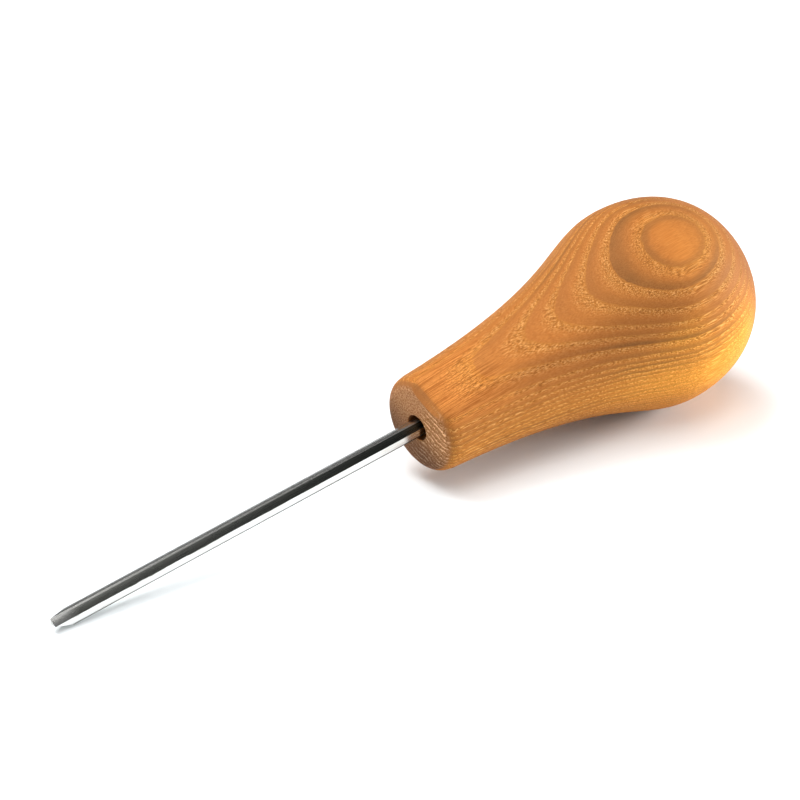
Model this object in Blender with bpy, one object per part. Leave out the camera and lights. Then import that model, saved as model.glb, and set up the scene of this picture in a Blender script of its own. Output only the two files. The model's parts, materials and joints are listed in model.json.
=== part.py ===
"""Palm V-tool: a turned ash handle with a V-ground steel blade glued into its bore.

Metres, +Z up. The tool lies on a table at Z = 0, on the bulb of its handle and the tip of its blade,
with the blade towards -X. Every piece is modelled on the tool's own axis, where x is 0 at the handle's
front face, rises towards the bulb, and local +Z is square to the flat on the neck. One empty then lays
the whole tool on the table.
"""

import math

import bmesh
import bpy
from mathutils import Matrix, Vector

MM = 0.001

# Handle: a turned pear with a plain front end and no ferrule.
HANDLE_LENGTH = 80.8 * MM
BULB_RADIUS = 21.0 * MM
BULB_CENTRE_X = 59.1 * MM
FRONT_RADIUS = 9.9 * MM
FRONT_EDGE_ROUND = 2.4 * MM

# Points that pull the side's curve: out of the neck, into the bulb, round the bulb and into its pole.
NECK_PULL = (44.8 * MM, 11.9 * MM)
BULB_PULL_X = 47.6 * MM
CAP_PULL_X = 71.7 * MM
POLE_PULL_RADIUS = 13.9 * MM

HANDLE_SIDES = 72
FLANK_STEPS = 13
CAP_STEPS = 10
EDGE_ROUND_STEPS = 5

# Flat planed on the neck: its distance from the axis at the front, where it runs out on the flare, and
# the end of the stretch that is planed, where its plane passes clear over the neck.
FLAT_HEIGHT = 8.4 * MM
FLAT_RUN_OUT_X = 18.0 * MM
FLAT_STROKE_X = 26.0 * MM

# Blind bore for the tang, ending in a drill point.
BORE_RADIUS = 2.5 * MM
BORE_DEPTH = 47.0 * MM
DRILL_POINT = math.radians(118.0)

# Blade: a hexagonal bar, ground to a V at the tip.
BAR_SIDES = 6
BAR_ACROSS_FLATS = 3.15 * MM
BLADE_REACH = 86.4 * MM
TANG_LENGTH = 45.0 * MM
TANG_CHAMFER = 0.5 * MM
BLADE_TURN = math.radians(12.0)

# V groove: width at the tip, angle between its walls, and where its rising floor runs out.
V_WIDTH = 1.7 * MM
V_ANGLE = math.radians(60.0)
V_RUN_OUT = 40.0 * MM

# Outer sharpening bevels: angle to the groove's wall, how far the keel sits behind the wings, and the
# metal left at the cutting edges.
BEVEL_ANGLE = math.radians(22.0)
KEEL_SETBACK = 0.8 * MM
EDGE_THICKNESS = 0.03 * MM

# Adhesive sleeve round the tang, between two depths in the bore.
GLUE_START = 7.0 * MM
GLUE_END = 43.0 * MM
GLUE_GAP = 0.1 * MM
GLUE_SIDES = 36

# Lie on the table: the flat's normal leans this far from upright, towards -Y.
LIE_ROLL = math.radians(27.0)
TILT_START = math.radians(1.0)
TILT_PASSES = 6

# How the shapes are made: how far a cutter stands proud, points closer than this are one point, the
# bevel profile that is an arc, halvings in a search, and the corner angle that shading keeps sharp.
CUTTER_MARGIN = 2.0 * MM
MERGE_DISTANCE = 0.001 * MM
ARC_PROFILE = 0.5
SEARCH_PASSES = 40
SMOOTH_ANGLE = math.radians(30.0)

# Finishes: colour, roughness and metallic value.
OILED_ASH = ((0.56, 0.25, 0.062, 1.0), 0.5, 0.0)
TOOL_STEEL = ((0.42, 0.42, 0.43, 1.0), 0.3, 1.0)
SET_ADHESIVE = ((0.30, 0.22, 0.12, 1.0), 0.4, 0.0)


def clear_scene():
    """Remove every object of the scene that the script starts from."""
    for old in list(bpy.data.objects):
        bpy.data.objects.remove(old, do_unlink=True)


def make_material(name, colour, roughness, metallic):
    """Return a Principled material of one colour."""
    material = bpy.data.materials.new(name)
    material.use_nodes = True
    shader = material.node_tree.nodes["Principled BSDF"]
    shader.inputs["Base Color"].default_value = colour
    shader.inputs["Roughness"].default_value = roughness
    shader.inputs["Metallic"].default_value = metallic
    material.diffuse_color = colour
    return material


def make_object(name, shape, parent=None, material=None):
    """Turn a bmesh into a named object with smooth shading and sharp edges at its corners."""
    bmesh.ops.recalc_face_normals(shape, faces=shape.faces)
    mesh = bpy.data.meshes.new(name)
    shape.to_mesh(mesh)
    shape.free()
    mesh.shade_smooth()
    mesh.set_sharp_from_angle(angle=SMOOTH_ANGLE)
    piece = bpy.data.objects.new(name, mesh)
    bpy.context.collection.objects.link(piece)
    piece.parent = parent
    if material:
        mesh.materials.append(material)
    return piece


def make_cutter(name, shape, parent):
    """Return a hidden object that a Boolean takes away from a piece."""
    cutter = make_object(name, shape, parent)
    cutter.hide_render = True
    cutter.display_type = "WIRE"
    return cutter


def cut_away(piece, cutter):
    """Subtract one object from another with a live Boolean."""
    boolean = piece.modifiers.new(cutter.name, "BOOLEAN")
    boolean.operation = "DIFFERENCE"
    boolean.solver = "EXACT"
    boolean.object = cutter


def slice_off(shape, point, normal, stroke_end=math.inf):
    """Cut a closed bmesh by a plane, in front of stroke_end, and close the cut over what is dropped."""
    verts = [vert for vert in shape.verts if vert.co.x < stroke_end]
    edges = [edge for edge in shape.edges if all(vert.co.x < stroke_end for vert in edge.verts)]
    faces = [face for face in shape.faces if all(vert.co.x < stroke_end for vert in face.verts)]
    reached = verts + edges + faces
    cut = bmesh.ops.bisect_plane(shape, geom=reached, plane_co=point, plane_no=normal, clear_outer=True)
    rim = [item for item in cut["geom_cut"] if isinstance(item, bmesh.types.BMEdge)]
    bmesh.ops.contextual_create(shape, geom=rim)


def bezier_point(pulls, t):
    """Point at t, from 0 to 1, of the cubic curve that four (x, radius) points pull."""
    weights = ((1 - t) ** 3, 3 * t * (1 - t) ** 2, 3 * t * t * (1 - t), t ** 3)
    x = sum(weight * pull[0] for weight, pull in zip(weights, pulls))
    radius = sum(weight * pull[1] for weight, pull in zip(weights, pulls))
    return x, radius


def flank_point(t):
    """Point of the handle's side at t from 0, the front, to 1, the fattest part of the bulb."""
    start = (0.0, FRONT_RADIUS)
    end = (BULB_CENTRE_X, BULB_RADIUS)
    return bezier_point((start, NECK_PULL, (BULB_PULL_X, BULB_RADIUS), end), t)


def cap_point(t):
    """Point of the bulb's rounded end at t from 0, the fattest part, to 1, the pole."""
    start = (BULB_CENTRE_X, BULB_RADIUS)
    pole = (HANDLE_LENGTH, 0.0)
    return bezier_point((start, (CAP_PULL_X, BULB_RADIUS), (HANDLE_LENGTH, POLE_PULL_RADIUS), pole), t)


def handle_outline():
    """Turning profile of the handle, from the end of its bore round the outside to the pole."""
    drill_tip = BORE_DEPTH + BORE_RADIUS / math.tan(DRILL_POINT / 2)
    bore = [(drill_tip, 0.0), (BORE_DEPTH, BORE_RADIUS), (0.0, BORE_RADIUS)]
    flank = [flank_point(step / FLANK_STEPS) for step in range(FLANK_STEPS + 1)]
    cap = [cap_point(step / CAP_STEPS) for step in range(1, CAP_STEPS)]
    return bore + flank + cap + [(HANDLE_LENGTH, 0.0)]


def radius_at(x):
    """Radius of the handle's side at a distance from its front face."""
    low, high = 0.0, 1.0
    for _ in range(SEARCH_PASSES):
        middle = (low + high) / 2
        if flank_point(middle)[0] < x:
            low = middle
        else:
            high = middle
    return flank_point(low)[1]


def flat_plane():
    """A point of the neck's flat, over the front face, and its outward normal."""
    rise = radius_at(FLAT_RUN_OUT_X) - FLAT_HEIGHT
    normal = Vector((-rise, 0.0, FLAT_RUN_OUT_X)).normalized()
    return Vector((0.0, 0.0, FLAT_HEIGHT)), normal


def build_handle(parent, material):
    """Turn the pear, plane the flat on its neck and round its front edge."""
    shape = bmesh.new()
    outline = [shape.verts.new((x, 0.0, radius)) for x, radius in handle_outline()]
    edges = [shape.edges.new(pair) for pair in zip(outline, outline[1:])]
    bmesh.ops.spin(
        shape,
        geom=outline + edges,
        cent=(0.0, 0.0, 0.0),
        axis=(1.0, 0.0, 0.0),
        angle=math.tau,
        steps=HANDLE_SIDES,
        use_merge=True,
    )
    bmesh.ops.remove_doubles(shape, verts=shape.verts, dist=MERGE_DISTANCE)
    point, normal = flat_plane()
    slice_off(shape, point, normal, FLAT_STROKE_X)
    bmesh.ops.recalc_face_normals(shape, faces=shape.faces)
    round_front_edge(shape)
    return make_object("handle", shape, parent, material)


def on_front_rim(vert):
    """Whether a corner of the handle lies on its front face and outside the rim of the bore."""
    on_front = abs(vert.co.x) < MERGE_DISTANCE
    return on_front and math.hypot(vert.co.y, vert.co.z) > BORE_RADIUS + FRONT_EDGE_ROUND


def round_front_edge(shape):
    """Round the edge between the handle's front face and what stands behind it."""
    front_edge = [edge for edge in shape.edges if all(on_front_rim(vert) for vert in edge.verts)]
    bmesh.ops.bevel(
        shape,
        geom=front_edge,
        offset=FRONT_EDGE_ROUND,
        offset_type="OFFSET",
        segments=EDGE_ROUND_STEPS,
        profile=ARC_PROFILE,
        affect="EDGES",
        clamp_overlap=False,
    )


def hexagonal_bar(across_flats, start, end):
    """A hexagonal bar along x, with one of its flats square to +Z."""
    shape = bmesh.new()
    corner = across_flats / 2 / math.cos(math.pi / BAR_SIDES)
    turns = [math.tau * (side + 0.5) / BAR_SIDES for side in range(BAR_SIDES)]
    ring = [shape.verts.new((start, corner * math.sin(turn), corner * math.cos(turn))) for turn in turns]
    base = shape.faces.new(ring)
    grown = bmesh.ops.extrude_face_region(shape, geom=[base])
    far_end = [item for item in grown["geom"] if isinstance(item, bmesh.types.BMVert)]
    bmesh.ops.translate(shape, verts=far_end, vec=(end - start, 0.0, 0.0))
    bmesh.ops.recalc_face_normals(shape, faces=shape.faces)
    return shape


def v_depth():
    """Depth of the groove at the tip."""
    return V_WIDTH / 2 / math.tan(V_ANGLE / 2)


def sharpen(shape):
    """Grind the two outer bevels that meet the groove's walls in the cutting edges."""
    top = BAR_ACROSS_FLATS / 2
    half = V_ANGLE / 2
    keel = Vector((KEEL_SETBACK - BLADE_REACH, 0.0, top - v_depth()))
    for side in (-1.0, 1.0):
        wing = Vector((-BLADE_REACH, side * V_WIDTH / 2, top))
        into_metal = Vector((0.0, side * math.cos(half), -math.sin(half)))
        grind = math.cos(BEVEL_ANGLE) * Vector((1.0, 0.0, 0.0)) + math.sin(BEVEL_ANGLE) * into_metal
        outward = (wing - keel).cross(grind).normalized()
        if outward.dot(into_metal) < 0:
            outward.negate()
        slice_off(shape, keel + EDGE_THICKNESS * outward, outward)


def chamfer_tang(shape):
    """Break the edges of the tang's far end."""
    end_x = TANG_LENGTH - MERGE_DISTANCE
    end_edges = [edge for edge in shape.edges if all(vert.co.x > end_x for vert in edge.verts)]
    bmesh.ops.bevel(shape, geom=end_edges, offset=TANG_CHAMFER, segments=1, affect="EDGES")


def groove_cutter():
    """The wedge that mills the V: its floor rises from the tip and leaves the top face at the run-out."""
    shape = bmesh.new()
    face_height = BAR_ACROSS_FLATS / 2
    slope = v_depth() / V_RUN_OUT
    ceiling = face_height + CUTTER_MARGIN
    rings = []
    for x in (-BLADE_REACH - CUTTER_MARGIN, V_RUN_OUT - BLADE_REACH + CUTTER_MARGIN):
        floor = face_height - v_depth() + slope * (x + BLADE_REACH)
        reach = (ceiling - floor) * math.tan(V_ANGLE / 2)
        corners = ((0.0, floor), (reach, ceiling), (-reach, ceiling))
        rings.append([shape.verts.new((x, y, z)) for y, z in corners])
    front, back = rings
    shape.faces.new(front)
    shape.faces.new(back)
    for side, _ in enumerate(front):
        shape.faces.new((front[side - 1], front[side], back[side], back[side - 1]))
    return shape


def build_blade(parent, material):
    """Make the blade and its tang from one length of bar."""
    shape = hexagonal_bar(BAR_ACROSS_FLATS, -BLADE_REACH, TANG_LENGTH)
    sharpen(shape)
    chamfer_tang(shape)
    blade = make_object("blade", shape, parent, material)
    blade.rotation_euler.x = BLADE_TURN
    cut_away(blade, make_cutter("groove_cutter", groove_cutter(), blade))
    weld = blade.modifiers.new("keel_weld", "WELD")
    weld.merge_threshold = MERGE_DISTANCE
    return blade


def build_glue(parent, material):
    """Make the sleeve of set adhesive that fills the bore round the tang."""
    shape = bmesh.new()
    along_x = Matrix.Rotation(math.pi / 2, 4, "Y")
    bmesh.ops.create_cone(
        shape,
        cap_ends=True,
        segments=GLUE_SIDES,
        radius1=BORE_RADIUS - GLUE_GAP,
        radius2=BORE_RADIUS - GLUE_GAP,
        depth=GLUE_END - GLUE_START,
        matrix=Matrix.Translation(((GLUE_START + GLUE_END) / 2, 0.0, 0.0)) @ along_x,
    )
    glue = make_object("tang_adhesive", shape, parent, material)
    hole = hexagonal_bar(
        BAR_ACROSS_FLATS + 2 * GLUE_GAP,
        GLUE_START - CUTTER_MARGIN,
        GLUE_END + CUTTER_MARGIN,
    )
    hole_cutter = make_cutter("tang_hole_cutter", hole, parent)
    hole_cutter.rotation_euler.x = BLADE_TURN
    cut_away(glue, hole_cutter)
    return glue


def world_points(pieces):
    """Every corner of the finished pieces, in world space."""
    bpy.context.view_layer.update()
    graph = bpy.context.evaluated_depsgraph_get()
    points = []
    for piece in pieces:
        finished = piece.evaluated_get(graph)
        points += [finished.matrix_world @ vert.co for vert in finished.data.vertices]
    return points


def lowest_point(points, tilt):
    """The point that would be lowest if the tool's bulb end were raised by a tilt."""
    return min(points, key=lambda point: point.z * math.cos(tilt) + point.x * math.sin(tilt))


def lay_on_table(holder, handle, blade):
    """Roll and tilt the tool until bulb and tip touch Z = 0, with the origin under the middle of its box."""
    holder.rotation_euler.x = LIE_ROLL
    handle_points = world_points([handle])
    blade_points = world_points([blade])
    tilt = TILT_START
    for _ in range(TILT_PASSES):
        tip = lowest_point(blade_points, tilt)
        bulb = lowest_point(handle_points, tilt)
        tilt = math.atan2(tip.z - bulb.z, bulb.x - tip.x)
    holder.rotation_euler.y = -tilt
    points = world_points([handle, blade])
    left = min(point.x for point in points)
    right = max(point.x for point in points)
    holder.location = (-(left + right) / 2, 0.0, -min(point.z for point in points))
    bpy.context.view_layer.update()


def main():
    """Build the tool and lay it on the table."""
    clear_scene()
    holder = bpy.data.objects.new("tool_axis", None)
    bpy.context.collection.objects.link(holder)
    handle = build_handle(holder, make_material("oiled_ash", *OILED_ASH))
    blade = build_blade(holder, make_material("tool_steel", *TOOL_STEEL))
    build_glue(holder, make_material("set_adhesive", *SET_ADHESIVE))
    lay_on_table(holder, handle, blade)


main()
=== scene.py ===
"""Looks of the palm V-tool: an oiled ash handle and a ground steel blade, lying on a pale floor.

Each new piece is modelled on the tool's own axis, where x is 0 at the handle's front face and rises towards
the bulb, y falls towards the camera, and z is square to the flat on the neck. Its finished mesh is then
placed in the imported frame. The sizes of shapes are in metres, those of finishes in millimetres.
"""

import json
import logging
import math
from dataclasses import dataclass
from enum import Enum
from typing import Any, Callable, Union

import bpy
from mathutils import Matrix, Vector


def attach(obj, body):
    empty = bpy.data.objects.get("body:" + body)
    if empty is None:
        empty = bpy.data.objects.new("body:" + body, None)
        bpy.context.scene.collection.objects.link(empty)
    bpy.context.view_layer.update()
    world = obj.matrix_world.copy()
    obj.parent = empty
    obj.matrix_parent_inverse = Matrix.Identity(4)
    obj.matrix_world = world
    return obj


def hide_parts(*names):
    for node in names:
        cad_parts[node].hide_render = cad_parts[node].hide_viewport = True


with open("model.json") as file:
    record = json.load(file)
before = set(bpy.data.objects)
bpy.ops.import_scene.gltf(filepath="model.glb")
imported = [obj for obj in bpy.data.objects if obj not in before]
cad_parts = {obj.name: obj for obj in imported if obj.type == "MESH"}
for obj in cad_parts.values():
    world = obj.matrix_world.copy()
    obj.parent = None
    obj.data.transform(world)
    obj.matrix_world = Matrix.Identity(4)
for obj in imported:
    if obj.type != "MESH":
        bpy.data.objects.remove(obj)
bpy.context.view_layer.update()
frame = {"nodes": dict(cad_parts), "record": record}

MM = 0.001
BODY = "root"
MERGE_DISTANCE = 0.001 * MM
IMAGE_SIZE = 800
NOISE_MEAN = 0.5

log = logging.getLogger("palm_v_tool")

Colour = tuple[float, float, float]
Place = tuple[float, float, float]
Point = tuple[float, float]
# The start and the end of a smooth step, of which the end may be the lower one.
Span = tuple[float, float]
Socket = bpy.types.NodeSocket

PORE_BROWN: Colour = (0.20, 0.07, 0.016)


class Slot(Enum):
    """Material slots of the record."""

    ASH = "oiled_ash"
    STEEL = "tool_steel"
    ADHESIVE = "set_adhesive"


class Blend(Enum):
    """Ways in which a colour is laid over another."""

    MIX = "MIX"
    MULTIPLY = "MULTIPLY"


class Measure(Enum):
    """What a border in the wood is measured by: its place on the tool or in the growth rings."""

    X = "x"
    Y = "y"
    Z = "z"
    SIDE = "side"
    HEIGHT = "height"
    PHASE = "phase"


# The borders of a place in the wood, each with the start and the end of its smooth step.
Zone = tuple[tuple[Measure, float, float], ...]


def smooth_min(first: float, second: float, reach: float) -> float:
    """The lower of two heights, rounded where they are within reach of each other.

    Args:
        first: One height.
        second: The other height.
        reach: Difference of the heights at which the rounding starts.

    Returns:
        The rounded minimum.
    """
    overlap = max(reach - abs(first - second), 0.0) / reach
    return min(first, second) - overlap * overlap * reach / 4


def bezier_point(pulls: tuple[Point, ...], t: float) -> Point:
    """A point of a cubic curve.

    Args:
        pulls: The four (x, radius) points that pull the curve.
        t: Place on the curve, from 0 to 1.

    Returns:
        The (x, radius) point.
    """
    weights = ((1 - t) ** 3, 3 * t * (1 - t) ** 2, 3 * t * t * (1 - t), t**3)
    x = sum(weight * pull[0] for weight, pull in zip(weights, pulls))
    radius = sum(weight * pull[1] for weight, pull in zip(weights, pulls))
    return x, radius


def direction_at(azimuth: float, elevation: float) -> Vector:
    """A direction in space.

    Args:
        azimuth: Angle round the table, from +x, in degrees.
        elevation: Angle above the table, in degrees.

    Returns:
        The direction, of length 1.
    """
    turn, rise = math.radians(azimuth), math.radians(elevation)
    level = math.cos(rise)
    return Vector((level * math.cos(turn), level * math.sin(turn), math.sin(rise)))


@dataclass(frozen=True)
class ToolAxis:
    """Where the tool lies: its front-face centre, its axis and the direction its flat looks in."""

    front: Vector
    along: Vector
    upward: Vector

    @classmethod
    def from_record(cls, record: dict[str, Any], handle_length: float) -> "ToolAxis":
        """Read the lie of the tool from the record's mounts.

        Args:
            record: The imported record.
            handle_length: Distance from the handle's front face to the pole of its bulb.

        Returns:
            The tool's axis.
        """
        mounts = {mount["name"]: mount for mount in record["mounts"]}
        grip = mounts["palm_grip"]
        along = Vector(grip["axis"]).normalized()
        flat = Vector(mounts["neck_flat"]["axis"])
        upward = (flat - flat.dot(along) * along).normalized()
        return cls(Vector(grip["pos_m"]) - handle_length * along, along, upward)

    def turned(self, angle: float) -> "ToolAxis":
        """The same axis with its upward direction turned round it."""
        return ToolAxis(self.front, self.along, Matrix.Rotation(angle, 3, self.along) @ self.upward)

    @property
    def matrix(self) -> Matrix:
        """The lie of the tool as a matrix.

        Returns:
            The matrix that takes the tool's own coordinates into the frame.
        """
        across = self.upward.cross(self.along)
        turn = Matrix((self.along, across, self.upward)).transposed()
        return Matrix.Translation(self.front) @ turn.to_4x4()


class Bench:
    """Modelling steps that act on the active object, in the order a maker would take them."""

    @staticmethod
    def clear_selection() -> None:
        """Leave edit mode and deselect every object."""
        if bpy.context.object and bpy.context.object.mode != "OBJECT":
            bpy.ops.object.mode_set(mode="OBJECT")
        bpy.ops.object.select_all(action="DESELECT")

    @staticmethod
    def activate(piece: bpy.types.Object) -> None:
        """Select one object alone and make it active.

        Args:
            piece: The object.
        """
        Bench.clear_selection()
        piece.select_set(True)
        bpy.context.view_layer.objects.active = piece

    @staticmethod
    def trace(name: str, points: list[Place]) -> bpy.types.Object:
        """Draw an outline by extruding one corner from point to point.

        Args:
            name: Name of the new object.
            points: The points of the outline.

        Returns:
            The object, in edit mode, with its outline selected.
        """
        Bench.clear_selection()
        bpy.ops.mesh.primitive_plane_add(size=MM, location=(0.0, 0.0, 0.0))
        piece = bpy.context.object
        piece.name = name
        piece.data.name = name
        bpy.ops.object.mode_set(mode="EDIT")
        bpy.ops.mesh.select_all(action="SELECT")
        bpy.ops.mesh.merge(type="CENTER")
        bpy.ops.transform.translate(value=points[0])
        for before, after in zip(points, points[1:]):
            step = Vector(after) - Vector(before)
            bpy.ops.mesh.extrude_region_move(TRANSFORM_OT_translate={"value": step})
        bpy.ops.mesh.select_all(action="SELECT")
        return piece

    @staticmethod
    def close_shape() -> None:
        """Merge the doubles of a swept outline, point its faces out and leave edit mode."""
        bpy.ops.mesh.select_all(action="SELECT")
        bpy.ops.mesh.remove_doubles(threshold=MERGE_DISTANCE)
        bpy.ops.mesh.normals_make_consistent(inside=False)
        bpy.ops.object.mode_set(mode="OBJECT")

    @staticmethod
    def select_edges(piece: bpy.types.Object, wanted: Callable[[Vector, Vector], bool]) -> None:
        """Select the edges of the object in edit mode whose two ends pass a test.

        Args:
            piece: The object, in edit mode.
            wanted: Test on an edge's two end points.
        """
        bpy.ops.mesh.select_mode(type="EDGE")
        bpy.ops.mesh.select_all(action="DESELECT")
        bpy.ops.object.mode_set(mode="OBJECT")
        corners = piece.data.vertices
        for edge in piece.data.edges:
            first, second = edge.vertices
            edge.select = wanted(corners[first].co, corners[second].co)
        bpy.ops.object.mode_set(mode="EDIT")

    @staticmethod
    def subtract(piece: bpy.types.Object, cutter: bpy.types.Object) -> None:
        """Cut one object out of another and remove the cutter.

        Args:
            piece: The object that is cut.
            cutter: The closed object that is taken away.
        """
        Bench.activate(piece)
        boolean = piece.modifiers.new(cutter.name, "BOOLEAN")
        boolean.operation = "DIFFERENCE"
        boolean.solver = "EXACT"
        boolean.object = cutter
        bpy.ops.object.modifier_apply(modifier=boolean.name)
        bpy.data.objects.remove(cutter, do_unlink=True)

    @staticmethod
    def put_in_place(piece: bpy.types.Object, place: Matrix, smooth_angle: float) -> None:
        """Shade a finished piece and move it from the tool's axis to its place, into its mesh.

        Args:
            piece: The finished object, at the origin.
            place: Matrix from the tool's own coordinates to the frame.
            smooth_angle: Corners sharper than this stay sharp.
        """
        Bench.activate(piece)
        piece.matrix_world = place
        bpy.ops.object.transform_apply(location=True, rotation=True, scale=True)
        bpy.ops.object.shade_smooth_by_angle(angle=smooth_angle)


@dataclass(frozen=True)
class Grain:
    """One cloudy pattern: the size of its lumps in mm, its offset from other patterns, and its detail."""

    size: Place
    shift: float
    detail: float


class Signal:
    """One number of a shader, which Python's operators turn into Math nodes."""

    def __init__(self, nodes: "NodeBench", socket: Socket) -> None:
        """Wrap an output socket of a node bench."""
        self.nodes = nodes
        self.socket = socket

    def __add__(self, other: "Value") -> "Signal":
        """Sum of two values."""
        return self.nodes.math("ADD", self, other)

    def __sub__(self, other: "Value") -> "Signal":
        """Difference of two values."""
        return self.nodes.math("SUBTRACT", self, other)

    def __rsub__(self, other: "Value") -> "Signal":
        """Difference from a number on the left."""
        return self.nodes.math("SUBTRACT", other, self)

    def __mul__(self, other: "Value") -> "Signal":
        """Product of two values."""
        return self.nodes.math("MULTIPLY", self, other)

    def __truediv__(self, other: "Value") -> "Signal":
        """Quotient of two values."""
        return self.nodes.math("DIVIDE", self, other)

    __radd__ = __add__
    __rmul__ = __mul__

    def clip(self) -> "Signal":
        """The value, held between 0 and 1."""
        return self.nodes.math("ADD", self, 0.0, clamp=True)

    def fraction(self) -> "Signal":
        """What is left of the value above its whole part."""
        return self.nodes.math("FRACT", self, 0.0)

    def magnitude(self) -> "Signal":
        """The value without its sign."""
        return self.nodes.math("ABSOLUTE", self, 0.0)

    def above(self, floor: float) -> "Signal":
        """The value, squeezed from between 0 and 1 to between a floor and 1."""
        return self * (1.0 - floor) + floor

    def fade(self, share: float) -> "Signal":
        """The factor that takes a share of something away where the value is 1."""
        return 1.0 - self * share

    def ramp(self, start: float, end: float) -> "Signal":
        """A smooth step.

        Args:
            start: Value at which the step begins, with 0.
            end: Value at which it has reached 1, above the start or below it.

        Returns:
            The step.
        """
        node = self.nodes.add(
            "ShaderNodeMapRange",
            {"interpolation_type": "SMOOTHSTEP"},
            {"Value": self, "From Min": start, "From Max": end},
        )
        return self.nodes.signal(node, "Result")


Value = Union[Signal, float]


class NodeBench:
    """A node tree, built by calls."""

    def __init__(self, tree: bpy.types.NodeTree) -> None:
        """Take up a tree."""
        self.tree = tree

    def add(self, kind: str, settings: dict[str, Any], inputs: dict[Any, Any]) -> bpy.types.Node:
        """Add a node.

        Args:
            kind: Type of the node.
            settings: Its options, which are set first.
            inputs: Values or links by socket name or number.

        Returns:
            The node.
        """
        node = self.tree.nodes.new(kind)
        for option, value in settings.items():
            setattr(node, option, value)
        for socket, value in inputs.items():
            self.feed(node.inputs[socket], value)
        return node

    def feed(self, socket: Socket, value: Any) -> None:
        """Link an input socket or set its value.

        Args:
            socket: The input.
            value: A signal or an output socket to link, or the value to set.
        """
        if isinstance(value, Signal):
            self.tree.links.new(value.socket, socket)
        elif isinstance(value, Socket):
            self.tree.links.new(value, socket)
        else:
            socket.default_value = value

    def signal(self, node: bpy.types.Node, output: str) -> Signal:
        """One output of a node as a value to calculate with."""
        return Signal(self, node.outputs[output])

    def math(self, operation: str, first: Value, second: Value, clamp: bool = False) -> Signal:
        """Add a Math node of two inputs and return its result."""
        settings = {"operation": operation, "use_clamp": clamp}
        return self.signal(self.add("ShaderNodeMath", settings, {0: first, 1: second}), "Value")


class MaterialBench(NodeBench):
    """The node tree of one material, with its Principled shader."""

    def __init__(self, name: str) -> None:
        """Start the material.

        Args:
            name: Its name.
        """
        self.material = bpy.data.materials.new(name)
        self.material.use_nodes = True
        super().__init__(self.material.node_tree)
        self.shader = self.tree.nodes["Principled BSDF"]

    def position(self, axis: ToolAxis) -> Socket:
        """The point on the surface in the tool's own coordinates.

        Args:
            axis: The axis that the coordinates follow.

        Returns:
            The point, in millimetres.
        """
        source = self.add("ShaderNodeTexCoord", {}, {})
        mapping = self.add(
            "ShaderNodeMapping",
            {"vector_type": "TEXTURE"},
            {
                "Vector": source.outputs["Object"],
                "Location": axis.front,
                "Rotation": axis.matrix.to_euler("XYZ"),
                "Scale": (MM, MM, MM),
            },
        )
        return mapping.outputs["Vector"]

    def split(self, vector: Socket) -> tuple[Signal, Signal, Signal]:
        """The three parts of a vector."""
        node = self.add("ShaderNodeSeparateXYZ", {}, {"Vector": vector})
        return self.signal(node, "X"), self.signal(node, "Y"), self.signal(node, "Z")

    def stretched(self, vector: Socket, size: Place, shift: float) -> Socket:
        """A point measured in grains of a given size.

        Args:
            vector: The point, in millimetres.
            size: Length of a grain in x, y and z, in millimetres.
            shift: Offset that sets one pattern apart from another.

        Returns:
            The point in grains.
        """
        mapping = self.add(
            "ShaderNodeMapping",
            {"vector_type": "POINT"},
            {
                "Vector": vector,
                "Location": (shift, shift, shift),
                "Scale": tuple(1.0 / length for length in size),
            },
        )
        return mapping.outputs["Vector"]

    def noise(self, vector: Socket, grain: Grain) -> Signal:
        """A cloudy pattern from 0 to 1.

        Args:
            vector: The point, in millimetres.
            grain: Size, offset and detail of the pattern.

        Returns:
            The pattern, which is mostly near its mean.
        """
        lumps = self.stretched(vector, grain.size, grain.shift)
        inputs = {"Vector": lumps, "Scale": 1.0, "Detail": grain.detail}
        return self.signal(self.add("ShaderNodeTexNoise", {}, inputs), "Fac")

    def cells(self, vector: Socket) -> Signal:
        """Distance to the middle of the nearest of scattered cells, one for each unit of the vector."""
        node = self.add("ShaderNodeTexVoronoi", {"feature": "F1"}, {"Vector": vector, "Scale": 1.0})
        return self.signal(node, "Distance")

    def chance(self, value: Signal) -> Signal:
        """A number from 0 to 1 that is fixed for each input value."""
        node = self.add("ShaderNodeTexWhiteNoise", {"noise_dimensions": "1D"}, {"W": value})
        return self.signal(node, "Value")

    def lay(self, under: Any, over: Any, share: Value, blend: Blend = Blend.MIX) -> Socket:
        """Lay one colour over another.

        Args:
            under: Colour or socket below.
            over: Colour or socket above.
            share: How much of the upper one shows.
            blend: Way in which they are mixed.

        Returns:
            The mixed colour.
        """
        node = self.add("ShaderNodeMix", {"data_type": "RGBA", "blend_type": blend.value}, {})
        colours = [socket for socket in node.inputs if socket.type == "RGBA"]
        self.feed(node.inputs["Factor"], share)
        for socket, colour in zip(colours, (under, over)):
            self.feed(socket, (*colour, 1.0) if isinstance(colour, tuple) else colour)
        return next(socket for socket in node.outputs if socket.type == "RGBA")

    def facing(self, direction: Vector) -> Signal:
        """How squarely the surface faces in a direction.

        Args:
            direction: The direction, of length 1.

        Returns:
            A value from -1, away from it, to 1.
        """
        surface = self.add("ShaderNodeNewGeometry", {}, {})
        inputs = {0: surface.outputs["Normal"], 1: direction}
        node = self.add("ShaderNodeVectorMath", {"operation": "DOT_PRODUCT"}, inputs)
        return self.signal(node, "Value")

    def bump(self, height: Signal, depth: float) -> Socket:
        """A normal bent by a height, of which 1 is as many millimetres as the depth says."""
        inputs = {"Height": height, "Distance": depth * MM, "Strength": 1.0}
        return self.add("ShaderNodeBump", {}, inputs).outputs["Normal"]

    def finish(self, **inputs: Any) -> bpy.types.Material:
        """Set the shader's sockets, with underscores for the blanks in their names.

        Args:
            **inputs: Values or links by socket name.

        Returns:
            The material.
        """
        for name, value in inputs.items():
            self.feed(self.shader.inputs[name.replace("_", " ")], value)
        return self.material


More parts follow.
